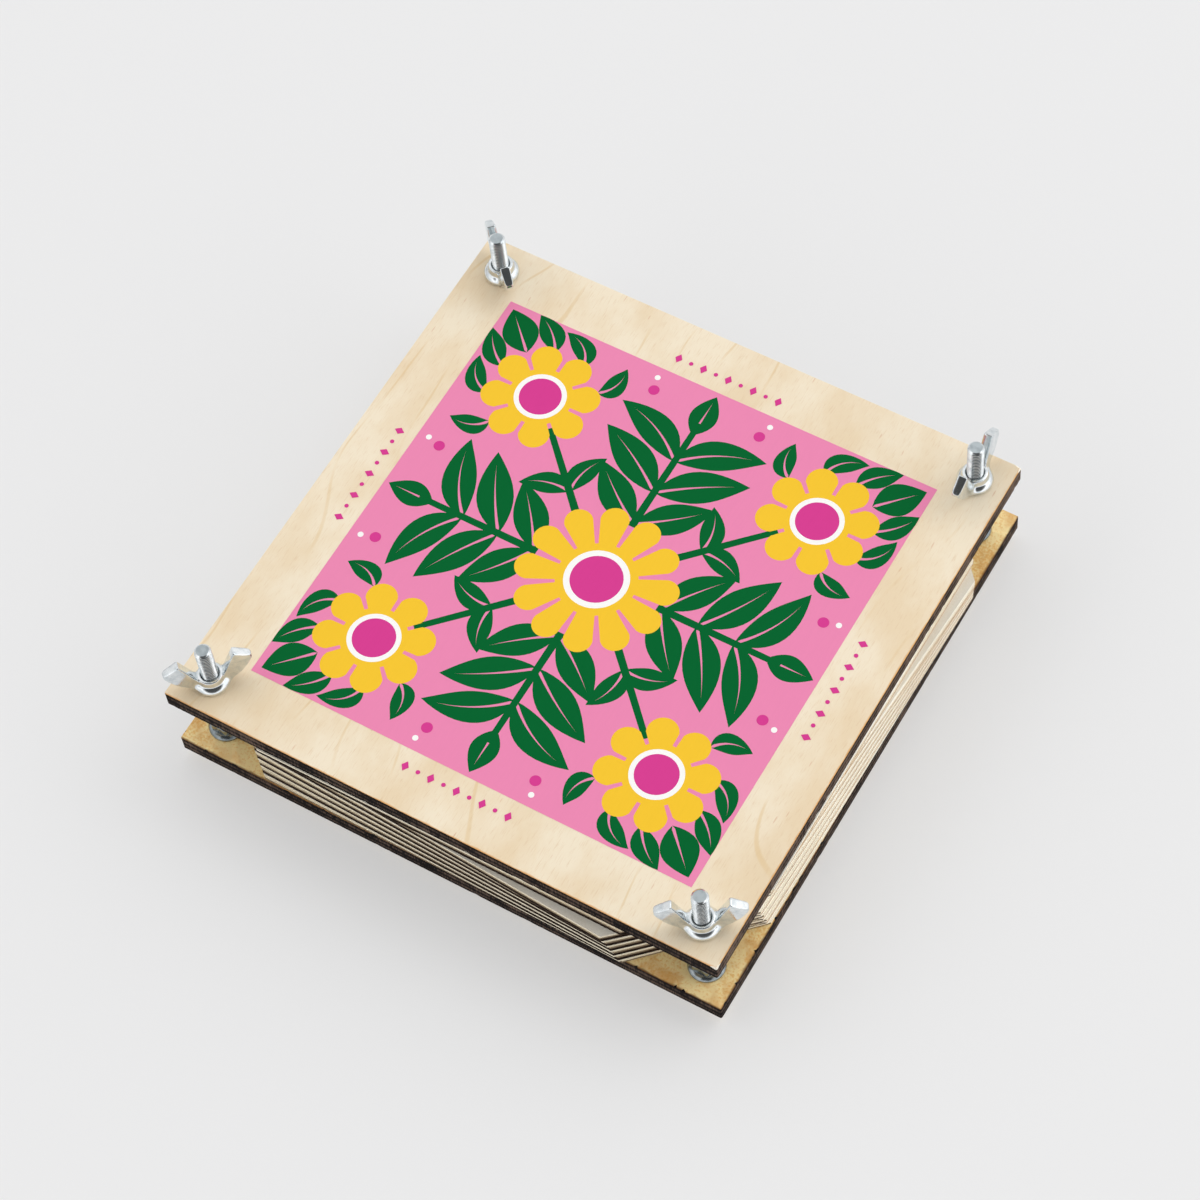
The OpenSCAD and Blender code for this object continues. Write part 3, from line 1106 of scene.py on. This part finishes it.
    def parted(self) -> tuple[list[Vector], dict[Ink, list[tuple[int, ...]]]]:
        """Parts the print into triangles that each hold the last ink laid there.

        Returns:
            The points in millimetres, and the triangles of each ink.
        """
        flat, faces = [], []
        for motif in self.motifs:
            outline = motif.outline
            area = sum(a[0] * b[1] - b[0] * a[1] for a, b in zip(outline, outline[1:] + outline[:1]))
            ordered = outline if area > 0 else outline[::-1]
            faces.append(list(range(len(flat), len(flat) + len(ordered))))
            flat.extend(Vector(p) for p in ordered)
        order = list(Ink)
        points, _, triangles, _, _, sources = delaunay_2d_cdt(flat, [], faces, INSIDE, PRINT_GAP)
        inks: dict[Ink, list[tuple[int, ...]]] = {ink: [] for ink in order}
        for triangle, source in zip(triangles, sources):
            if source:
                top = max(order.index(self.motifs[s].ink) for s in source)
                inks[order[top]].append(tuple(triangle))
        return points, inks

    def build(self) -> None:
        """Makes one closed film for each ink."""
        self.design()
        points, inks = self.parted()
        for number, (ink, triangles) in enumerate(inks.items()):
            name = ink.name.lower()
            level = self.face_z + self.film + number * self.film_step
            used = sorted({n for t in triangles for n in t})
            place = {n: i for i, n in enumerate(used)}
            shell = Shell()
            top, base = (shell.ring((points[n].x * MM, points[n].y * MM, z) for n in used)
                         for z in (level, self.face_z - self.film))
            sides: dict[tuple[int, int], int] = {}
            for t in triangles:
                a, b, c = (place[n] for n in t)
                shell.face((top[a], top[b], top[c]))
                shell.face((base[c], base[b], base[a]))
                for edge in ((a, b), (b, c), (c, a)):
                    sides[edge] = sides.get(edge, 0) + 1
            for a, b in sides:
                if (b, a) not in sides:
                    shell.face((top[b], top[a], base[a], base[b]))
            finish = ScreenInk(f"{name.capitalize()} screen ink on birch", colour=ink.value)
            place_piece(f"print_{name}", shell.mesh(f"print_{name}", [finish]), "top_board")


@dataclass
class CoachBolt:
    """A coach bolt: domed head, square neck and a shank with a rolled M5 thread."""

    node: str = "coach_bolt_front_left"
    head_flat: float = 1.5 * MM
    rim: float = 0.5 * MM
    head_height: float = 3.3 * MM
    neck_half: float = 2.65 * MM
    neck_length: float = 3.4 * MM
    radius: float = 2.5 * MM
    chamfer: float = 0.6 * MM
    pitch: float = 0.8 * MM
    thread_depth: float = 0.38 * MM
    thread_from: float = 12 * MM
    # Shares of a thread's turn that its flat crest and its root take
    crest_share: float = 0.08
    root_share: float = 0.16
    head_fillet: float = 0.12 * MM
    neck_chamfer: float = 0.2 * MM
    steps: int = 24
    rows_per_turn: int = 12
    head_steps: int = 48
    dome_steps: int = 10

    def __post_init__(self) -> None:
        """Takes the bolt's length and head from its node."""
        low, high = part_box(self.node)
        self.length = high.z - low.z
        self.head_radius = (high.x - low.x) / 2

    def depth_at(self, turn: float, z: float) -> float:
        """Works out how deep the thread is cut at a place on the shank.

        Args:
            turn: Way round the shank, from 0 to 1.
            z: Height.

        Returns:
            Depth below the crest.
        """
        phase = (z / self.pitch - turn) % 1.0
        rise = 1 - abs(2 * phase - 1)
        flank = min(1.0, max(0.0, (rise - self.crest_share) / (1 - self.crest_share - self.root_share)))
        return self.thread_depth * (1 - flank)

    def shank(self, shell: Shell) -> None:
        """Adds the threaded shank.

        Args:
            shell: The bolt's shell.
        """
        rows = round((self.length - self.thread_from) / self.pitch * self.rows_per_turn)
        foot = self.thread_from - self.pitch
        ring = shell.ring(circle(self.radius - self.thread_depth, foot, self.steps))
        shell.fan(ring[::-1], (0, 0, foot))
        for row in range(rows + 1):
            z = self.thread_from + (self.length - self.thread_from) * row / rows
            limit = self.radius - max(0.0, z - (self.length - self.chamfer))
            # The thread fades in over its first two turns
            fade = min(1.0, (z - self.thread_from) / (2 * self.pitch))
            points = []
            for i in range(self.steps):
                turn = i / self.steps
                r = min(limit, self.radius - self.depth_at(turn, z) * fade)
                points.append((r * math.cos(math.tau * turn), r * math.sin(math.tau * turn), z))
            new = shell.ring(points)
            shell.band(ring, new)
            ring = new
        shell.fan(ring, (0, 0, self.length), 1)

    def head(self, shell: Shell) -> None:
        """Adds the domed head and the square neck.

        Args:
            shell: The bolt's shell.
        """
        rise = self.head_height - self.rim
        middle = (self.head_radius ** 2 + rise ** 2 - self.head_flat ** 2) / (2 * rise)
        sphere = math.hypot(self.head_flat, middle)
        start, end = math.asin(self.head_flat / sphere), math.asin(self.head_radius / sphere)
        profile = []
        for i in range(self.dome_steps + 1):
            a = start + (end - start) * i / self.dome_steps
            profile.append((sphere * math.sin(a), middle - sphere * math.cos(a)))
        profile.append((self.head_radius, self.head_height - self.head_fillet))
        profile.append((self.head_radius - self.head_fillet, self.head_height))
        rings = [shell.ring(circle(radius, z, self.head_steps)) for radius, z in profile]
        top = self.head_height + self.neck_length
        for z in (self.head_height, top - self.neck_chamfer):
            square = []
            for point in circle(1.0, z, self.head_steps):
                stretch = self.neck_half / max(abs(point.x), abs(point.y))
                square.append((point.x * stretch, point.y * stretch, z))
            rings.append(shell.ring(square))
        for z in (top, self.thread_from):
            rings.append(shell.ring(circle(self.radius - self.thread_depth, z, self.head_steps)))
        for low, high in zip(rings, rings[1:]):
            shell.band(low, high)
        shell.fan(rings[0][::-1], (0, 0, 0))
        shell.fan(rings[-1], (0, 0, self.thread_from))

    def build(self) -> None:
        """Makes the four bolts from one mesh."""
        shell = Shell()
        self.head(shell)
        self.shank(shell)
        rolled = ZincPlate("Steel, thread rolled, zinc plated", roughness=0.16)
        sheared = ZincPlate("Steel, sheared, zinc plated", bright="#C0C9CC", dull="#ABB5B9", roughness=0.42)
        mesh = shell.mesh("coach_bolt", [rolled, sheared], 32.0)
        for corner in Corner:
            node = f"coach_bolt_{corner.value}"
            place_piece(f"{node}_threaded", mesh, "base", [node], stand_on(node))


@dataclass
class LockNut:
    """A hexagon nut with a round flange at its foot."""

    flats: float = 8 * MM
    flange_thickness: float = 1 * MM
    bore: float = 2.55 * MM
    soft_share: float = 0.985
    # Headings of the points along a side in degrees, closest at the hexagon's corner
    headings: tuple[float, ...] = (-2.2, 0.0, 2.2, 12.0, 22.0, 30.0, 38.0, 48.0)

    def __post_init__(self) -> None:
        """Takes the nut's size from its node."""
        low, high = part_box("lock_nut_front_left")
        self.flange_radius = (high.x - low.x) / 2
        self.height = high.z - low.z

    def outline(self, radius: float, z: float, flats: float = math.inf) -> list[Point]:
        """Returns a ring round the nut's axis.

        Args:
            radius: Its radius, or how far its corners reach at most.
            z: Its height.
            flats: Width across the flats of a ring that is a hexagon.

        Returns:
            The points.
        """
        points = []
        for side in range(6):
            for heading in self.headings:
                a = math.radians(60 * side + heading)
                from_flat = math.radians(heading % 60 - 30)
                r = min(flats / 2 / math.cos(from_flat), radius)
                points.append((r * math.cos(a), r * math.sin(a), z))
        return points

    def build(self) -> None:
        """Makes the four nuts from one mesh."""
        shell = Shell()
        flats, reach = self.flats, self.flats / math.sqrt(3)
        soft = self.soft_share * reach
        t, flange, top = self.flange_thickness, self.flange_radius, self.height
        rings = [shell.ring(self.outline(*row)) for row in (
            (self.bore + 0.4 * MM, 0.0),
            (flange - 0.25 * MM, 0.0),
            (flange - 0.05 * MM, 0.12 * MM),
            (flange, 0.35 * MM),
            (flange - 0.02 * MM, t - 0.3 * MM),
            (flange - 0.2 * MM, t - 0.05 * MM),
            (reach + 0.25 * MM, t + 0.45 * MM),
            (soft, t + 0.62 * MM, flats),
            (soft, top - 0.75 * MM, flats),
            (reach - 0.22 * MM, top - 0.45 * MM, flats),
            (flats / 2 + 0.1 * MM, top - 0.2 * MM, flats),
            (flats / 2 - 0.15 * MM, top),
            (self.bore + 0.45 * MM, top),
            (self.bore, top - 0.35 * MM),
            (self.bore, 0.35 * MM))]
        for low, high in zip(rings, rings[1:] + rings[:1]):
            shell.band(low, high)
        # The plate is painted darker than the other zinc, as the shade that the nut sits in between the
        # boards
        finish = ZincPlate("Steel, forged, zinc plated", bright="#A4ACAF", dull="#838C90", roughness=0.22,
                           ripple=1.6 * MM)
        mesh = shell.mesh("lock_nut", [finish], 32.0)
        for corner in Corner:
            node = f"lock_nut_{corner.value}"
            place_piece(f"{node}_flanged", mesh, "base", [node], stand_on(node))


@dataclass
class WingNut:
    """A forged wing nut: a thick round foot, a short hub and two flat-edged wings, as one form."""

    columns: int = 16
    root_rows: tuple[int, int] = (3, 9)
    # Height and radius round the hub in millimetres, from the bore's foot out, up and back down the bore
    profile: tuple[tuple[float, float], ...] = (
        (0.0, 3.0), (0.0, 4.85), (0.12, 5.3), (0.6, 5.5), (1.25, 5.32), (1.9, 4.8),
        (2.3, 4.3), (2.55, 3.97), (3.5, 3.88), (4.05, 3.84), (4.42, 3.7), (4.5, 3.45),
        (4.5, 2.95), (4.2, 2.6), (0.45, 2.6))
    # Lower and upper edge of the wing at each section, as distance from the axis and height, and the
    # wing's thickness there, in millimetres
    sections: tuple[tuple[float, float, float, float, float], ...] = (
        (6.5, 1.3, 4.75, 6.1, 3.2),
        (8.2, 2.4, 5.85, 8.5, 3.1),
        (9.7, 3.9, 6.95, 11.0, 3.05),
        (10.5, 4.9, 7.6, 12.4, 3.0),
        (10.9, 5.5, 7.95, 13.08, 2.95),
        (11.3, 6.1, 8.7, 12.6, 2.85),
        (12.0, 7.3, 10.2, 11.6, 2.75),
        (12.5, 8.3, 11.7, 10.7, 2.55),
        (12.85, 9.05, 12.85, 9.95, 1.9))
    # How sharp the hub's rings stay, by their place in the profile
    ring_creases: tuple[tuple[int, float], ...] = ((0, 0.5), (10, 0.3), (12, 0.5))
    upper_crease: float = 0.25
    lower_crease: float = 0.2
    end_crease: float = 0.1
    # Corners of the node at this share of the furthest one's distance, or further, belong to a wing's tip
    tip_share: float = 0.985

    def build_mesh(self) -> bpy.types.Mesh:
        """Makes the cage of the nut.

        Returns:
            The mesh, which a subdivision surface rounds.
        """
        shell = Shell()
        n = self.columns
        # A ring of few points is drawn in a little by the subdivision, so it starts that much wider
        swell = 3 / (2 + math.cos(math.tau / n))
        rings = [shell.ring(circle(r * swell * MM, z * MM, n)) for z, r in self.profile]
        first, last = self.root_rows
        roots = {0, n - 1, n // 2, n // 2 - 1}
        for k, low in enumerate(rings):
            high = rings[(k + 1) % len(rings)]
            for i in range(n):
                if first <= k < last and i in roots:
                    continue
                j = (i + 1) % n
                shell.face((low[i], low[j], high[j], high[i]))
        for number, sharpness in self.ring_creases:
            shell.crease(rings[number] + rings[number][:1], sharpness)
        for turn in (0, n // 2):
            self.wing(shell, rings, turn)
        finish = ZincPlate("Steel, forged and tumbled, zinc plated", roughness=0.12, ripple=2.4 * MM,
                           ripple_depth=0.03 * MM)
        return shell.mesh("wing_nut", [finish], 180.0)

    def wing(self, shell: Shell, rings: Sequence[Sequence[int]], turn: int) -> None:
        """Draws one wing out of the hub.

        Args:
            shell: The nut's shell.
            rings: Numbers of the points of the hub's rings.
            turn: The column at the middle of the wing.
        """
        n = self.columns
        first, last = self.root_rows
        rows = last - first
        near, far = (turn - 1) % n, (turn + 1) % n
        loop = [rings[first][turn]]
        loop += [rings[k][far] for k in range(first, last + 1)]
        loop.append(rings[last][turn])
        loop += [rings[k][near] for k in range(last, first - 1, -1)]
        side = 1 if turn == 0 else -1
        steps = [k / rows for k in range(rows + 1)]
        loops = []
        for lower_x, lower_z, upper_x, upper_z, thickness in self.sections:
            half = thickness / 2
            edge = [(lower_x + (upper_x - lower_x) * t, lower_z + (upper_z - lower_z) * t) for t in steps]
            outline = [(lower_x, 0.0, lower_z)]
            outline += [(x, half, z) for x, z in edge]
            outline.append((upper_x, 0.0, upper_z))
            outline += [(x, -half, z) for x, z in reversed(edge)]
            new = shell.ring((side * x * MM, side * y * MM, z * MM) for x, y, z in outline)
            shell.band(loop, new)
            loop = new
            loops.append(loop)
        # The long edges stay crisp up to the last two sections, which the subdivision rounds off
        for numbers, sharpness in (((rows + 1, rows + 3), self.upper_crease), ((1, -1), self.lower_crease)):
            for number in numbers:
                shell.crease([ring[number] for ring in loops[:-2]], sharpness)
        shell.crease(loop + loop[:1], self.end_crease)
        foot, crown = loop[0], loop[rows + 2]
        between = [shell.points[foot].lerp(shell.points[crown], k / rows) for k in range(1, rows)]
        spine = [foot, *shell.ring(between), crown]
        left = loop[1:rows + 2]
        right = loop[:rows + 2:-1]
        for k in range(rows):
            shell.face((spine[k], left[k], left[k + 1], spine[k + 1]))
            shell.face((right[k], spine[k], spine[k + 1], right[k + 1]))

    def heading(self, node: str) -> float:
        """Finds which way a nut's wings point from the corners of its node.

        Args:
            node: The nut's node.

        Returns:
            The angle from +X, in radians.
        """
        low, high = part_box(node)
        middle = ((low + high) / 2).xy
        ways = [v.co.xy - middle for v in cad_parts[node].data.vertices]
        furthest = max(ways, key=lambda way: way.length)
        reach = self.tip_share * furthest.length
        tip = sum((way for way in ways if way.length > reach and way.dot(furthest) > 0), Vector((0, 0)))
        angle = math.atan2(tip.y, tip.x)
        log.info("%s points to %.1f degrees", node, math.degrees(angle))
        return angle

    def build(self) -> None:
        """Makes the four nuts from one cage."""
        mesh = self.build_mesh()
        for corner in Corner:
            node = f"wing_nut_{corner.value}"
            stand = stand_on(node, self.heading(node))
            piece = place_piece(f"{node}_forged", mesh, node, [node], stand)
            smooth = piece.modifiers.new("soft edges", "SUBSURF")
            smooth.levels = smooth.render_levels = 3


@dataclass
class SheetStack:
    """The corrugated cards and the blotting sheets, as the frame holds them."""

    kraft: KraftBoard = KraftBoard("Kraft corrugated board, pale liners, uncoated")
    papers: tuple[BlottingPaper, ...] = (
        BlottingPaper("Blotting paper, felted"),
        # The lower sheet of each pair is painted a little darker, and deep brown on its cuts, as the shade
        # on that recessed sheet
        BlottingPaper("Blotting paper, felted, creamier", paper="#FBF4E1", shade_tone="#EEE4CC",
                      cut="#8A7860"))

    def build(self) -> None:
        """Dresses each sheet's node."""
        for name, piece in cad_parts.items():
            if name.startswith("card_"):
                finish: Finish = self.kraft
            elif name.startswith("blotter_"):
                # Odd-numbered sheets, the lower of each pair, take the paper painted with shade
                finish = self.papers[int(name.rsplit("_", 1)[1]) % len(self.papers)]
            else:
                continue
            piece.data.materials.clear()
            piece.data.materials.append(finish.material())
            log.info("%s in %s", name, finish.name)


@dataclass
class Studio:
    """Camera, floor and soft light."""

    place: Vector = field(default_factory=lambda: Vector((0.312573, -0.411982, 0.895913)))
    azimuth: float = 37.171
    elevation: float = 59.317
    roll: float = -8.010
    lens: float = 105.135
    wall: str = "#FCFCFD"
    backdrop: str = "#ECECEE"
    world_level: float = 1.92
    booth_share: float = 0.05
    mirror_share: float = 0.64
    horizon_share: float = 0.68
    world_heading: float = -35.0
    world_lean: float = 0.4
    key_power: float = 7.0
    key_heading: float = 48.0
    key_elevation: float = 60.0
    key_distance: float = 2.5
    key_size: float = 1.7
    floor_reach: float = 3.0

    @staticmethod
    def aim(name: str, data: bpy.types.ID, place: Vector, ahead: Vector, roll: float) -> bpy.types.Object:
        """Puts a camera or a lamp in its place.

        Args:
            name: Its name.
            data: The camera or lamp itself.
            place: Where it stands.
            ahead: The way that it looks.
            roll: How far it is rolled, in degrees.

        Returns:
            The object.
        """
        thing = put_in_scene(name, data)
        thing.rotation_mode = "QUATERNION"
        thing.location = place
        level = ahead.to_track_quat("-Z", "Y")
        thing.rotation_quaternion = level @ Quaternion((0, 0, 1), math.radians(roll))
        return thing

    def camera(self) -> None:
        """Sets the camera at the view of the photograph."""
        data = bpy.data.cameras.new("camera")
        data.lens, data.sensor_width = self.lens, 36.0
        data.clip_start, data.clip_end = 0.05, 20.0
        ahead = -direction(self.azimuth - 90, self.elevation)
        bpy.context.scene.camera = self.aim("camera", data, self.place, ahead, self.roll)

    def key(self) -> None:
        """Hangs a large soft lamp behind the press, to its right."""
        data = bpy.data.lights.new("key", "AREA")
        data.shape, data.size, data.energy = "DISK", self.key_size, self.key_power
        away = direction(self.key_heading, self.key_elevation)
        self.aim("key", data, away * self.key_distance, -away, 0.0)

    def world(self) -> None:
        """Surrounds the scene with even light, darker where the photographer stands."""
        world = bpy.data.worlds.new("studio")
        bpy.context.scene.world = world
        world.use_nodes = True
        world.node_tree.nodes.clear()
        add = partial(add_node, world.node_tree)
        way = add("TexCoord").outputs["Generated"]
        towards = direction(self.azimuth - 90, self.elevation)
        near = add("VectorMath", {0: way, 1: towards}, operation="DOT_PRODUCT")
        booth = add("MapRange", {
            "Value": near, "From Min": 0.56, "From Max": 0.80,
            "To Min": self.world_level, "To Max": self.booth_share * self.world_level},
            interpolation_type="SMOOTHSTEP")
        side = add("VectorMath", {0: way, 1: direction(self.world_heading, 0.0)}, operation="DOT_PRODUCT")
        lean = add("Math", {0: side, 1: self.world_lean, 2: 1.0}, operation="MULTIPLY_ADD")
        height = add("SeparateXYZ", {0: way})
        horizon = add("MapRange", {
            "Value": height.outputs["Z"], "From Min": 0.02, "From Max": 0.42,
            "To Min": self.horizon_share, "To Max": 1.0}, interpolation_type="SMOOTHSTEP")
        leaning = add("Math", {0: booth, 1: lean}, operation="MULTIPLY")
        level = add("Math", {0: leaning, 1: horizon}, operation="MULTIPLY")
        # Metal mirrors the room as plain white walls, not as bright as the light that falls on the press
        path = add("LightPath")
        dimmed = add("MapRange", {
            "Value": path.outputs["Is Glossy Ray"], "To Min": 1.0, "To Max": self.mirror_share})
        strength = add("Math", {0: level, 1: dimmed}, operation="MULTIPLY")
        room = add("Background", {"Color": self.wall, "Strength": strength})
        backdrop = add("Background", {"Color": self.backdrop, "Strength": 1.0})
        mix = add("MixShader", {0: path.outputs["Is Camera Ray"], 1: room, 2: backdrop})
        add("OutputWorld", {"Surface": mix})

    def floor(self) -> None:
        """Lays the pale floor."""
        reach = self.floor_reach
        shell = Shell()
        corners = ((-reach, -reach, 0), (reach, -reach, 0), (reach, reach, 0), (-reach, reach, 0))
        shell.face(shell.ring(corners))
        mesh = shell.mesh("floor", [PaperSweep("Matt studio paper")])
        put_in_scene("floor", mesh)

    def build(self) -> None:
        """Sets up the whole studio."""
        bpy.context.scene.view_settings.view_transform = "Standard"
        self.camera()
        self.key()
        self.world()
        self.floor()
        log.info("studio ready")


def main() -> None:
    """Builds the studio and dresses every piece of the press."""
    logging.basicConfig(level=logging.INFO, format="%(message)s")
    Studio().build()
    _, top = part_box("top_board")
    edge = top.x
    near, right = (edge, -edge), (edge, edge)
    burns = [(edge, MM * y - edge) for y in (9.0, 20.0, 31.5, 58.0, 71.0, 96.0, 118.0, 139.0)]
    burns += [(edge - MM * x, -edge) for x in (12.0, 14.5, 27.0, 53.0, 62.0, 75.0)]
    Board("bottom_board", "base", "bottom_plywood", hole_radius=2.75 * MM, ragged_below=0.4 * MM,
          nicks_above=0.4 * MM, burns=tuple(burns), lit_right_edge=0.06,
          face=SmokedVeneer("Birch veneer, smoke stained", edge, scorch_width=0.7 * MM,
                            scorch="#6B3A14")).build()
    Board("top_board", "top_board", "top_plywood", hole_radius=3 * MM, ragged_below=0.9 * MM,
          nicks_above=0.06 * MM, face=BirchVeneer("Birch veneer, sanded", edge), highlight_chips=(near, right)).build()
    FolkPrint(top.z).build()
    CoachBolt().build()
    LockNut().build()
    WingNut().build()
    SheetStack().build()


if __name__ == "__main__":
    main()
